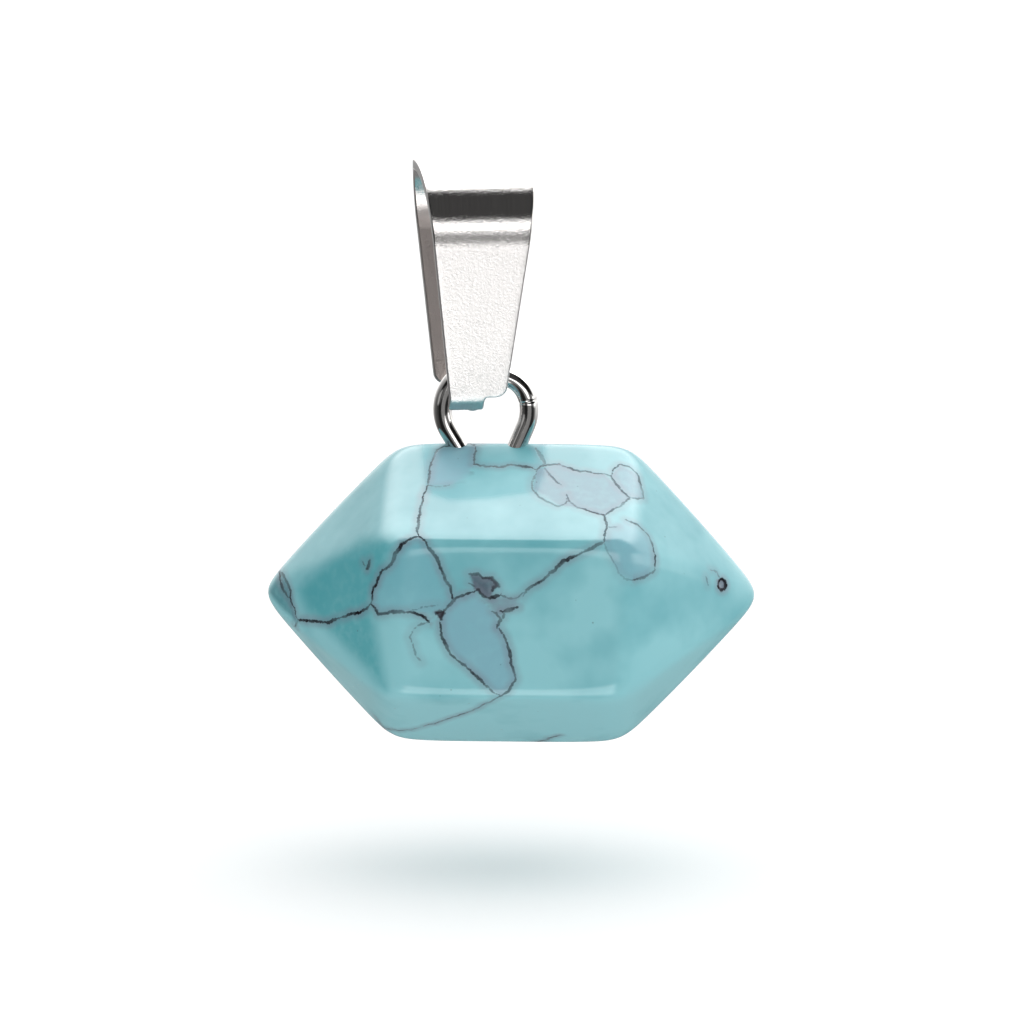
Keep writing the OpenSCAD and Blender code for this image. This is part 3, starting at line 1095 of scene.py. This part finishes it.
# Veins that show from the front, read in pixels of the 1024-pixel frame
FRONT_VEINS = (
    Vein(0.09, 0.75, ((476, 445), (460, 445), (444, 447), (437, 450), (431, 461), (429, 469), (428, 485))),
    Vein(0.10, 0.85, ((428, 485), (425, 491), (422, 500), (420, 510), (417, 520), (417, 530), (419, 536))),
    Vein(0.07, 0.55, ((428, 485), (435, 487), (450, 485))),
    Vein(0.09, 0.80, ((475, 445), (476, 450), (474, 459), (474, 464))),
    Vein(0.12, 0.85, ((474, 464), (486, 466), (503, 467), (511, 465), (520, 466), (537, 470))),
    Vein(0.12, 0.95, ((419, 536), (411, 539), (403, 545), (396, 554), (391, 564), (382, 571), (377, 580),
        (373, 591), (371, 604))),
    Vein(0.12, 0.95, ((419, 536), (425, 541), (429, 548), (435, 556), (441, 567), (443, 576), (449, 587),
        (453, 599))),
    Vein(0.13, 1.00, ((371, 604), (378, 614), (393, 611), (411, 611), (421, 616), (429, 622))),
    Vein(0.07, 0.45, ((411, 611), (423, 606), (438, 605))),
    Vein(0.11, 0.90, ((279, 571), (283, 575), (287, 581), (290, 591), (290, 598), (293, 608), (295, 615),
        (298, 620))),
    Vein(0.12, 0.90, ((279, 571), (280, 584), (283, 590), (289, 598))),
    Vein(0.12, 1.00, ((298, 620), (309, 620), (321, 622), (331, 622), (342, 618), (352, 615), (360, 614),
        (370, 605))),
    Vein(0.08, 0.70, ((298, 620), (295, 627))),
    Vein(0.10, 0.85, ((440, 615), (444, 610), (453, 599), (458, 596), (466, 594), (474, 592))),
    Vein(0.12, 0.85, ((523, 596), (526, 590), (531, 586), (537, 582), (545, 578), (555, 571), (563, 562),
        (575, 556), (586, 551), (596, 547), (604, 542))),
    Vein(0.10, 0.60, ((500, 595), (508, 598), (513, 598), (519, 596), (523, 593))),
    Vein(0.14, 0.90, ((518, 607), (511, 609), (505, 612), (500, 611))),
    Vein(0.14, 0.85, ((505, 612), (503, 618))),
    Vein(0.14, 0.80, ((492, 611), (496, 614), (499, 620), (497, 628))),
    Vein(0.09, 0.75, ((604, 542), (606, 534), (607, 528), (604, 516), (590, 512), (578, 508), (571, 502),
        (566, 494))),
    Vein(0.09, 0.65, ((604, 516), (614, 510), (622, 505), (630, 498), (622, 491), (616, 484), (611, 476),
        (604, 474))),
    Vein(0.10, 0.75, ((604, 474), (590, 472), (580, 472), (569, 468), (559, 463), (551, 465), (541, 467),
        (537, 470))),
    Vein(0.09, 0.70, ((611, 476), (614, 470), (620, 465), (631, 468), (637, 474), (640, 485), (642, 495),
        (643, 498), (635, 498), (630, 498))),
    Vein(0.08, 0.60, ((537, 470), (533, 481), (534, 489), (541, 497), (549, 502), (559, 505), (565, 503),
        (567, 499))),
    Vein(0.08, 0.55, ((544, 467), (551, 476), (561, 485))),
    Vein(0.14, 0.50, ((535, 448), (541, 456), (544, 463), (541, 467))),
    Vein(0.07, 0.55, ((608, 527), (618, 527))),
    Vein(0.10, 0.75, ((626, 520), (637, 525), (647, 536), (653, 548), (656, 561), (655, 570), (647, 576),
        (633, 580))),
    Vein(0.06, 0.35, ((633, 580), (624, 579), (618, 573), (612, 561), (607, 549), (604, 542))),
    Vein(0.11, 0.85, ((440, 622), (441, 634), (445, 644), (450, 654), (456, 659), (472, 673), (484, 685),
        (501, 696))),
    Vein(0.12, 0.90, ((501, 696), (509, 693), (515, 683), (517, 678), (512, 665), (509, 650), (505, 640),
        (499, 628))),
    Vein(0.07, 0.80, ((501, 696), (484, 704), (470, 711), (454, 716), (435, 724), (419, 728), (399, 731),
        (391, 730), (382, 728))),
    Vein(0.07, 0.50, ((429, 622), (421, 624), (413, 631), (410, 637), (413, 644), (416, 656), (421, 662))),
    Vein(0.20, 1.00, ((370, 560), (369, 564), (367, 569))),
    Vein(0.26, 1.00, ((437, 613), (443, 612), (441, 616), (441, 620))),
    Vein(0.10, 0.70, ((363, 562), (365, 566))),
    Vein(0.14, 0.90, ((469, 574), (473, 575), (478, 575), (483, 578))),
    Vein(0.16, 1.00, ((485, 578), (492, 577), (496, 581), (499, 586), (494, 588), (492, 591))),
    Vein(0.12, 0.80, ((469, 583), (474, 586))),
    Vein(0.13, 0.85, ((474, 592), (478, 590), (483, 596), (488, 598))),
    Vein(0.16, 1.00, ((489, 598), (495, 596), (501, 595))),
    Vein(0.08, 0.55, ((706, 577), (707, 581), (708, 585))),
    Vein(0.08, 0.55, ((711, 570), (714, 571), (717, 574), (719, 577))),
)

# Pits in the polish that show from the front: where, how wide and how deep in millimetres, and its rim's ink
FRONT_PITS = (
    ((440, 614), 0.40, 0.08, 0.0),
    ((722.3, 584.5), 0.70, 0.10, 1.0),
)

# Patches of colour seen from the front, most of them islands of other stone
FRONT_ISLANDS_AND_SHADE = (
    # Partly darker stone between the veins, partly painted shade on the left front facet of the point, away from the
    # light
    ColourPatch("#3F9BA4", 0.75, 9.0, ((300, 590), (330, 560), (360, 535), (392, 540), (385, 575), (371, 600),
        (386, 690), (370, 672), (310, 612))),
    # Partly darker blue-grey stone at the left tip, partly painted shade there
    ColourPatch("#3C7D87", 0.80, 3.0, ((268, 592), (279, 573), (286, 581), (291, 591), (294, 608), (297, 622),
        (280, 606))),
    ColourPatch("#6FABB8", 0.65, 1.5, ((419, 536), (403, 545), (391, 564), (377, 580), (371, 604), (378, 614),
        (411, 611), (440, 615), (453, 599), (443, 576), (429, 548))),
    ColourPatch("#7CAEBC", 0.90, 1.5, ((440, 618), (453, 599), (474, 592), (495, 614), (509, 650), (517, 678),
        (501, 696), (472, 673), (445, 644))),
    ColourPatch("#7CADBA", 0.80, 3.0, ((604, 542), (608, 527), (626, 520), (647, 536), (656, 561), (647, 576),
        (633, 580), (618, 573), (612, 561))),
    ColourPatch("#6F99A8", 0.95, 1.5, ((537, 470), (559, 463), (580, 472), (604, 474), (616, 484), (630, 498),
        (604, 516), (578, 508), (559, 505), (534, 489))),
    ColourPatch("#6F9AA9", 0.90, 1.5, ((611, 476), (620, 465), (637, 474), (643, 498), (630, 498), (616, 484))),
    ColourPatch("#7CA9B8", 0.85, 1.5, ((437, 450), (476, 445), (474, 464), (466, 478), (450, 485), (428, 485),
        (431, 461))),
    ColourPatch("#3C4958", 0.90, 1.8, ((470, 575), (478, 575), (484, 578), (492, 577), (497, 582), (499, 586),
        (493, 590), (491, 597), (486, 598), (478, 592), (474, 589), (473, 584))),
    # The triangular pit, painted black inside
    ColourPatch("#0C0A0D", 1.00, 0.7, ((435, 611), (440, 612), (445, 610), (444, 615), (441, 621), (438, 617))),
    ColourPatch("#5F6B78", 0.90, 1.0, ((717, 580), (721, 578), (726, 581), (727, 586), (723, 591), (718, 588))),
    ColourPatch("#70808E", 0.60, 4.0, ((484, 597), (500, 598), (522, 594), (514, 608), (498, 618))),
)

# The photo mirrors the bail in the facet below it. A duller patch stands for that: its outline in pixels of the
# frame, over how many pixels it fades and how dull it is
BAIL_REFLECTION_OUTLINE = ((420, 436), (546, 436), (546, 470), (538, 492), (490, 499), (450, 501), (426, 492))
BAIL_REFLECTION_FADE = 7
BAIL_REFLECTION_SHARE = 0.52

# Veins on the far side, in millimetres along the stone and round it, where the front ones run out of sight
ROUND_VEINS = (
    Vein(0.10, 0.80, ((-1.6, 10.2), (-2.0, 11.8), (-1.2, 13.4), (-1.8, 15.1), (-0.6, 17.0), (-1.0, 19.1),
        (0.4, 20.6))),
    Vein(0.11, 0.80, ((1.2, 10.2), (1.7, 11.8), (1.0, 13.6), (1.6, 15.6), (2.9, 17.0), (2.6, 19.0), (0.4, 20.6))),
    Vein(0.10, 0.85, ((0.4, 20.6), (0.9, 22.7), (0.2, 25.0), (1.1, 27.2), (0.6, 29.3), (1.5, 30.8), (2.6, 31.9))),
    Vein(0.09, 0.75, ((2.6, 19.0), (4.2, 19.5), (5.6, 18.6), (7.4, 19.3), (9.0, 20.2), (9.8, 21.4))),
    Vein(0.10, 0.80, ((-6.0, 32.2), (-5.2, 30.2), (-5.9, 28.4), (-4.6, 26.3), (-5.2, 24.3), (-3.9, 22.5),
        (-2.4, 20.6), (-1.0, 19.1))),
    Vein(0.10, 0.85, ((-5.2, 24.3), (-6.8, 23.4), (-8.4, 22.2), (-9.8, 21.6))),
    Vein(0.08, 0.65, ((4.2, 23.2), (5.2, 22.5), (6.2, 23.4), (6.4, 25.2), (5.4, 26.3), (4.4, 25.4), (4.2, 23.2))),
    Vein(0.08, 0.60, ((1.1, 27.2), (2.8, 26.5), (4.4, 25.4))),
    Vein(0.08, 0.65, ((-5.9, 28.4), (-7.2, 28.9), (-8.4, 29.9))),
    Vein(0.08, 0.60, ((2.9, 17.0), (4.1, 15.4), (3.7, 13.8), (5.0, 12.6), (6.2, 12.9))),
)

ROUND_ISLANDS = (
    ColourPatch("#94B9C7", 0.80, 0.08, ((-1.6, 10.2), (-1.2, 13.4), (-1.8, 15.1), (-0.6, 17.0), (-1.0, 19.1),
        (0.4, 20.6), (2.6, 19.0), (2.9, 17.0), (1.6, 15.6), (1.0, 13.6), (1.2, 10.2))),
    ColourPatch("#9FC0CC", 0.80, 0.08, ((4.2, 23.2), (5.2, 22.5), (6.2, 23.4), (6.4, 25.2), (5.4, 26.3), (4.4, 25.4))),
    ColourPatch("#8FB7C5", 0.60, 0.15, ((-5.2, 24.3), (-3.9, 22.5), (-2.4, 20.6), (-3.6, 19.6), (-5.6, 20.4),
        (-7.4, 22.0), (-6.8, 23.4))),
)


def threads(chart, veins, seed):
    """Dense points along the veins, in the stone's own frame, with the half width and the ink at each."""
    draw = np.random.default_rng(seed)
    step = THREAD_STEP / chart.scale
    rows = []
    for vein in veins:
        knots = np.array(vein.points, dtype=float)
        lengths = np.concatenate(((0,), np.cumsum(np.linalg.norm(np.diff(knots, axis=0), axis=1))))
        at = np.arange(0, lengths[-1] + step / 2, step)
        line = np.stack([np.interp(at, lengths, knots[:, k]) for k in (0, 1)], axis=1)
        along = np.gradient(line, axis=0)
        along /= np.linalg.norm(along, axis=1)[:, None] + 1e-9
        across = np.stack((-along[:, 1], along[:, 0]), axis=1)
        mm = at * chart.scale / MM
        wobble = sum(natural(draw, mm, spacing) * reach for spacing, reach in WOBBLES) * MM / chart.scale
        ends = np.clip(np.minimum(mm, mm[-1] - mm) / END_FADE, 0, 1)
        width = vein.width * (TIP_WIDTH + WIDTH_GAIN * ends) * (1 + WIDTH_CHANGE * natural(draw, mm, WIDTH_SPACING))
        ink = vein.ink * (EVEN_INK + INK_CHANGE * natural(draw, mm, INK_SPACING))
        places = chart.on_stone(line + across * (wobble * ends)[:, None])
        rows.append((places, width / 2 * MM, np.clip(ink, 0, 1)))
    return rows


# Wobbles across a vein: how far apart and how large, in millimetres
WOBBLES = ((0.9, 0.05), (0.28, 0.035), (0.1, 0.015))
THREAD_STEP = 0.03 * MM
# A vein's tip has this share of its width, and gains this much more over so many millimetres
TIP_WIDTH = 0.6
WIDTH_GAIN = 0.5
END_FADE = 0.3
# How much its width and ink change along it, and over how many millimetres
WIDTH_CHANGE = 0.35
WIDTH_SPACING = 0.4
EVEN_INK = 0.85
INK_CHANGE = 0.25
INK_SPACING = 0.5


def natural(draw, at, spacing):
    """Smooth random numbers from about -1 to 1 along a line, with knots the spacing apart."""
    knots = np.arange(at[0] - spacing, at[-1] + 2 * spacing, spacing)
    return np.interp(at, knots, draw.uniform(-1, 1, len(knots)))


def thread_object(stone, rows):
    """The veins as chains of edges with their half width and ink, placed where the stone hangs."""
    places, halves, inks = zip(*rows)
    edges, first = [], 0
    for line in places:
        edges += [(i, i + 1) for i in range(first, first + len(line) - 1)]
        first += len(line)
    mesh = bpy.data.meshes.new("veins")
    mesh.from_pydata(np.vstack([stone.placed(line) for line in places]).tolist(), edges, [])
    mark(mesh, "half", np.concatenate(halves))
    mark(mesh, "ink", np.concatenate(inks))
    return new_object("veins", mesh)


def vein_marks_tree():
    """Writes on each point of a surface its distance to the nearest vein, and that vein's half width and ink."""
    tree, given = new_tree("Vein marks", {"Surface": "Geometry", "Veins": "Object", "Finish": "Material"})
    veins = add(tree, "GeometryNodeObjectInfo", {"Object": given["Veins"]}).outputs["Geometry"]
    near = add(tree, "GeometryNodeSampleNearest", {"Geometry": veins}, domain="POINT").outputs[0]
    gap = add(tree, "GeometryNodeProximity", {0: veins}, target_element="EDGES").outputs["Distance"]
    marks = {"vein_gap": gap}
    for name in ("half", "ink"):
        value = add(tree, "GeometryNodeInputNamedAttribute", {"Name": name}, data_type="FLOAT").outputs[0]
        sample = add(tree, "GeometryNodeSampleIndex", {"Geometry": veins, "Value": value, "Index": near},
                     data_type="FLOAT", domain="POINT")
        marks["vein_" + name] = sample.outputs[0]
    surface = given["Surface"]
    for name, value in marks.items():
        surface = add(tree, "GeometryNodeStoreNamedAttribute", {"Geometry": surface, "Name": name, "Value": value},
                      data_type="FLOAT", domain="POINT").outputs[0]
    return end_tree(tree, surface, given["Finish"])


def depth_inside(outline, points):
    """How far each point lies inside a closed outline, or outside it if less than zero."""
    corners = np.asarray(outline, dtype=float)
    after = np.roll(corners, -1, axis=0)
    nearest = np.full(len(points), np.inf)
    inside = np.zeros(len(points), dtype=bool)
    for a, b in zip(corners, after):
        side = b - a
        share = np.clip((points - a) @ side / (side @ side), 0, 1)
        nearest = np.minimum(nearest, np.linalg.norm(points - a - share[:, None] * side, axis=1))
        crosses = (a[1] > points[:, 1]) != (b[1] > points[:, 1])
        rise = side[1] if side[1] else 1e-9
        inside ^= crosses & (points[:, 0] < a[0] + side[0] * (points[:, 1] - a[1]) / rise)
    return np.where(inside, nearest, -nearest)


def island_and_shade_colours(points, charts):
    """Colour of the patch that each point lies on, with its share as alpha. Two patches at the left are partly
    painted shade.
    """
    colours = np.zeros((len(points), 4), dtype=np.float32)
    for chart, islands_and_shade in charts:
        places, seen = chart.charted(points)
        for island_and_shade in islands_and_shade:
            share = np.clip(depth_inside(island_and_shade.outline, places) / island_and_shade.soft / 2 + 0.5, 0, 1)
            share = share * share * (3 - 2 * share) * seen * island_and_shade.share
            more = share > colours[:, 3]
            colours[more, :3] = linear(island_and_shade.colour)[:3]
            colours[more, 3] = share[more]
    return colours


def pit_rings(stone, pits):
    """The dark rims of the pits, as rows of points with their half width and ink, like those of the veins."""
    rows = []
    for place, (_, width, _, ink) in zip(pits, FRONT_PITS):
        if not ink:
            continue
        a = np.linspace(0, 2 * math.pi, RING_POINTS)
        up = stone.above(place[None])[1][0]
        side = np.cross(up, (0, 0, 1))
        side /= np.linalg.norm(side)
        other = np.cross(side, up)
        radius = width * MM * RING_RADIUS
        ring = place + np.outer(np.cos(a), side) * radius + np.outer(np.sin(a), other) * radius
        rows.append((stone.settled(ring), np.full(RING_POINTS, width * RING_HALF_WIDTH * MM),
                     np.full(RING_POINTS, ink)))
    return rows


def bail_reflection_rim(front):
    """Points of the stone along the outline of its dull patch, the painted reflection of the bail."""
    rim = np.array(BAIL_REFLECTION_OUTLINE + BAIL_REFLECTION_OUTLINE[:1], dtype=float)
    at = np.linspace(0, len(BAIL_REFLECTION_OUTLINE), RIM_POINTS)
    return front.on_stone(np.stack([np.interp(at, range(len(rim)), rim[:, k]) for k in (0, 1)], axis=1))


def stone_mesh():
    """The worn stone, its mesh fine along the edges and finest along the veins, and the veins themselves."""
    stone = WornStone(settings().stone)
    front, unrolled = FrontChart(stone), RoundChart(stone)
    rows = threads(front, FRONT_VEINS, FRONT_SEED) + threads(unrolled, ROUND_VEINS, ROUND_SEED)
    pits = front.on_stone([place for place, *_ in FRONT_PITS])
    rows += pit_rings(stone, pits)
    # The mesh is fine along the veins, and fairly fine along the edge of the painted reflection of the bail, where
    # the shine is turned down
    lines = nearest_of(np.vstack([places for places, _, _ in rows]))
    rim = nearest_of(bail_reflection_rim(front))

    def wanted(middles, sizes):
        top = np.sort(stone.heights(middles), axis=1)
        rounded = top[:, -1] - top[:, -2] < WEAR_REACH * stone.wear(middles)
        size = np.where(rounded, EDGE_MESH, OPEN_MESH)
        for i in np.flatnonzero(sizes > VEIN_MESH):
            gap = min(lines.find(middles[i])[2], rim.find(middles[i])[2] + RIM_MESH)
            size[i] = min(size[i], VEIN_MESH + max(0, gap - VEIN_BAND) * MESH_GROWTH)
        return size

    corners, triangles = stone.sharp()
    points, triangles = refined(stone.settled(corners), triangles, wanted, stone.settled)
    # Islands of other stone, and at the left of the front two patches that are partly painted shade
    colours = island_and_shade_colours(points, ((front, FRONT_ISLANDS_AND_SHADE), (unrolled, ROUND_ISLANDS)))
    places, seen = front.charted(points)
    # The dull patch is painted reflection, standing for the bail mirrored in the facet below it
    painted_bail_reflection = np.clip(depth_inside(BAIL_REFLECTION_OUTLINE, places) / BAIL_REFLECTION_FADE + 0.5, 0, 1) * seen * BAIL_REFLECTION_SHARE
    for place, (_, width, depth, _) in zip(pits, FRONT_PITS):
        away = np.linalg.norm(points - place, axis=1) / (width / 2 * MM)
        dent = np.clip(1 - away ** 2, 0, 1) ** 2 * depth * MM
        points = points - stone.above(points)[1] * dent[:, None]
    mesh = bpy.data.meshes.new("stone_body")
    mesh.from_pydata(stone.placed(points).tolist(), [], triangles.tolist())
    mark(mesh, "island_and_shade", colours, "FLOAT_COLOR", "color")
    mark(mesh, "painted_bail_reflection", painted_bail_reflection)
    mesh.shade_smooth()
    return mesh, thread_object(stone, rows)


FRONT_SEED = 5
ROUND_SEED = 9
RING_POINTS = 24
RIM_POINTS = 500
# Radius and half width of a pit's dark rim, as shares of the pit's width
RING_RADIUS = 0.36
RING_HALF_WIDTH = 0.12
# Sides of triangles: along veins, over how wide a band, along the dull patch of painted reflection, on worn edges and
# on open facets
VEIN_MESH = 0.05 * MM
VEIN_BAND = 0.08 * MM
RIM_MESH = 0.15 * MM
EDGE_MESH = 0.2 * MM
OPEN_MESH = 0.7 * MM
# How much longer the sides may be for each millimetre beyond that band, in millimetres
MESH_GROWTH = 0.8
# An edge counts as worn where its two facets' heights differ by less than this many depths of wear
WEAR_REACH = 3.5


# The studio


def camera_back():
    """Direction from the aim back to the camera."""
    studio = settings().studio
    a, e = studio.azimuth, studio.elevation
    return Vector((math.sin(a) * math.cos(e), -math.cos(a) * math.cos(e), math.sin(e)))


# What the polished surfaces mirror, by the sine of its height: how bright it is in front of the pendant and behind it
IN_FRONT = ((-1.0, 2.4), (-0.54, 2.4), (-0.48, 0.24), (-0.09, 0.28), (-0.04, 2.2), (0.15, 2.2), (0.21, 0.05),
            (0.92, 0.05), (0.97, 3.5))
BEHIND = ((-1.0, 0.30), (-0.45, 0.25), (0.1, 1.45), (0.48, 1.7), (0.68, 5.2), (1.0, 5.2))


def band_ramp(tree, height, bands):
    """Brightness of the mirrored studio at a height, as a share of the brightest band, and that band's brightness."""
    ramp = add(tree, "ShaderNodeValToRGB", {"Fac": height})
    brightest = max(bright for _, bright in bands)
    stops = ramp.color_ramp.elements
    while len(stops) < len(bands):
        stops.new(0.5)
    for stop, (z, bright) in zip(stops, bands):
        stop.position = (z + 1) / 2
        stop.color = (*[bright / brightest] * 3, 1)
    return product(tree, ramp.outputs[0], brightest)


def studio_world():
    """A white backdrop, an even light that is weaker from the left, and soft boxes and dark gaps to be mirrored."""
    world = bpy.data.worlds.new("Soft studio")
    world.use_nodes = True
    tree = world.node_tree
    tree.nodes.clear()
    way = add(tree, "ShaderNodeTexCoord").outputs["Generated"]
    x, y, z = add(tree, "ShaderNodeSeparateXYZ", {0: way}).outputs
    height = ranged(tree, z, -1, 1)
    front, behind = (band_ramp(tree, height, bands) for bands in (IN_FRONT, BEHIND))
    # Two dark upright boards stand in front, one on either side of the camera
    away = reckoned(tree, "ABSOLUTE", x)
    inner = ranged(tree, away, *BOARD_INNER_EDGE, 1, BOARD_BRIGHTNESS)
    outer = ranged(tree, away, *BOARD_OUTER_EDGE, BOARD_BRIGHTNESS, 1)
    between = product(tree, front, reckoned(tree, "MAXIMUM", inner, outer))
    back = ranged(tree, y, *FRONT_TO_BACK)
    bands = mixed(tree, back, between, behind)
    # The left side is darker than the right one, in what is mirrored and in the even light
    mirrored = product(tree, ranged(tree, x, -1, LEFT_EDGE, LEFT_BRIGHTNESS), bands)
    white = {"Color": (1, 1, 1, 1)}
    studio = add(tree, "ShaderNodeBackground", {**white, "Strength": mirrored})
    even = add(tree, "ShaderNodeBackground", {**white, "Strength": ranged(tree, x, -1, 1, *EVEN_LIGHT)})
    backdrop = add(tree, "ShaderNodeBackground", {**white, "Strength": 1.0})
    ray = add(tree, "ShaderNodeLightPath").outputs
    lit = add(tree, "ShaderNodeMixShader", {0: ray["Is Glossy Ray"], 1: even.outputs[0], 2: studio.outputs[0]})
    seen = add(tree, "ShaderNodeMixShader", {0: ray["Is Camera Ray"], 1: lit.outputs[0], 2: backdrop.outputs[0]})
    add(tree, "ShaderNodeOutputWorld", {"Surface": seen.outputs[0]})
    return world


# Directions are given by their share along X or Y, from -1 to 1
BOARD_INNER_EDGE = (0.32, 0.42)
BOARD_OUTER_EDGE = (0.78, 0.9)
BOARD_BRIGHTNESS = 0.1
FRONT_TO_BACK = (-0.3, -0.1)
LEFT_EDGE = -0.32
LEFT_BRIGHTNESS = 0.1
# Strength of the even light from the far left and from the far right
EVEN_LIGHT = (0.28, 1.12)


def add_soft_sun():
    """A wide soft light from straight above, too even to be mirrored."""
    light = bpy.data.lights.new("soft_sun", "SUN")
    light.energy = SUN_STRENGTH
    light.angle = SUN_WIDTH
    new_object("soft_sun", light).visible_glossy = False


SUN_STRENGTH = 1.2
SUN_WIDTH = math.radians(80)


def floor_mesh(height):
    """A wide round floor at the height."""
    mesh = bmesh.new()
    bmesh.ops.create_circle(mesh, cap_ends=True, segments=FLOOR_SIDES, radius=FLOOR_RADIUS)
    bmesh.ops.translate(mesh, verts=mesh.verts, vec=(0, 0, height))
    return finished_mesh("floor", mesh)


FLOOR_SIDES = 96
FLOOR_RADIUS = 3.0


# Operators


class PENDANT_OT_stage(bpy.types.Operator):
    """Sets up the camera, the light and the floor."""

    bl_idname = "pendant.stage"
    bl_label = "Studio"

    def execute(self, context):
        studio = settings().studio
        context.scene.view_settings.view_transform = "Standard"
        context.scene.world = studio_world()
        data = bpy.data.cameras.new("camera")
        data.lens = data.sensor_width * studio.distance / studio.frame_width
        data.clip_start = CLIP_START
        data.clip_end = CLIP_END
        camera = new_object("camera", data)
        camera.location = Vector(studio.aim) + camera_back() * studio.distance
        camera.rotation_euler = camera_back().to_track_quat("Z", "Y").to_euler()
        context.scene.camera = camera
        floor = new_piece("floor", floor_mesh(CAD_BOX[0][2] - studio.floor_gap), matte_acrylic(studio.floor))
        floor.visible_glossy = False
        add_soft_sun()
        return {"FINISHED"}


CLIP_START = 0.01
CLIP_END = 20


class PENDANT_OT_stone(bpy.types.Operator):
    """Makes the stone."""

    bl_idname = "pendant.stone"
    bl_label = "Stone"

    def execute(self, context):
        material = polished_howlite(settings().stone)
        mesh, veins = stone_mesh()
        piece = new_piece("stone_body", mesh, material)
        baked(piece, vein_marks_tree(), {"Veins": veins, "Finish": material})
        bpy.data.objects.remove(veins)
        hand_over(piece, "drop", ["stone"])
        return {"FINISHED"}


class PENDANT_OT_eye_loop(bpy.types.Operator):
    """Makes the wire eye loop."""

    bl_idname = "pendant.eye_loop"
    bl_label = "Eye loop"

    def execute(self, context):
        loop = settings().loop
        path = wire_path()
        piece = swept("eye_wire", in_loop_frame(path), seam_girth(path), loop.wire / 2, loop.sides,
                      polished_wire(loop))
        hand_over(piece, "drop", ["eye_loop"])
        return {"FINISHED"}


class PENDANT_OT_bail(bpy.types.Operator):
    """Makes the folded strip of the bail and its peg."""

    bl_idname = "pendant.bail"
    bl_label = "Bail"

    def execute(self, context):
        bail = settings().bail
        strip = new_piece("bail_strip", bail_mesh(), tumbled_strip(bail))
        # The stone mirrors the studio but not the bail, whose reflection is painted on the stone instead, as a dull
        # patch
        strip.visible_glossy = False
        hand_over(strip, "bail", ["bail"])
        path, girth = peg_path()
        peg = swept("bail_peg", path, girth, bail.peg_radius, PEG_SIDES, polished_wire(settings().loop))
        hand_over(peg, "bail", ["bail"])
        return {"FINISHED"}


class PENDANT_PT_panel(bpy.types.Panel):
    """Lists the pendant's pieces and their settings."""

    bl_idname = "PENDANT_PT_panel"
    bl_label = "Stone Pendant"
    bl_space_type = "VIEW_3D"
    bl_region_type = "UI"
    bl_category = "Pendant"

    def draw(self, context):
        groups = (("pendant.stage", "studio"), ("pendant.stone", "stone"), ("pendant.eye_loop", "loop"),
                  ("pendant.bail", "bail"))
        for operator, name in groups:
            box = self.layout.box()
            box.operator(operator)
            group = getattr(context.scene.pendant, name)
            for key in group.bl_rna.properties.keys():
                if key not in ("rna_type", "name"):
                    box.prop(group, key)


CLASSES = (
    StoneSettings, LoopSettings, BailSettings, StudioSettings, PendantSettings,
    PENDANT_OT_stage, PENDANT_OT_stone, PENDANT_OT_eye_loop, PENDANT_OT_bail, PENDANT_PT_panel,
)


def register():
    for cls in CLASSES:
        bpy.utils.register_class(cls)
    bpy.types.Scene.pendant = PointerProperty(type=PendantSettings)


def unregister():
    del bpy.types.Scene.pendant
    for cls in reversed(CLASSES):
        bpy.utils.unregister_class(cls)


def main():
    register()
    bpy.ops.pendant.stage()
    bpy.ops.pendant.stone()
    bpy.ops.pendant.eye_loop()
    bpy.ops.pendant.bail()


if __name__ == "__main__":
    main()
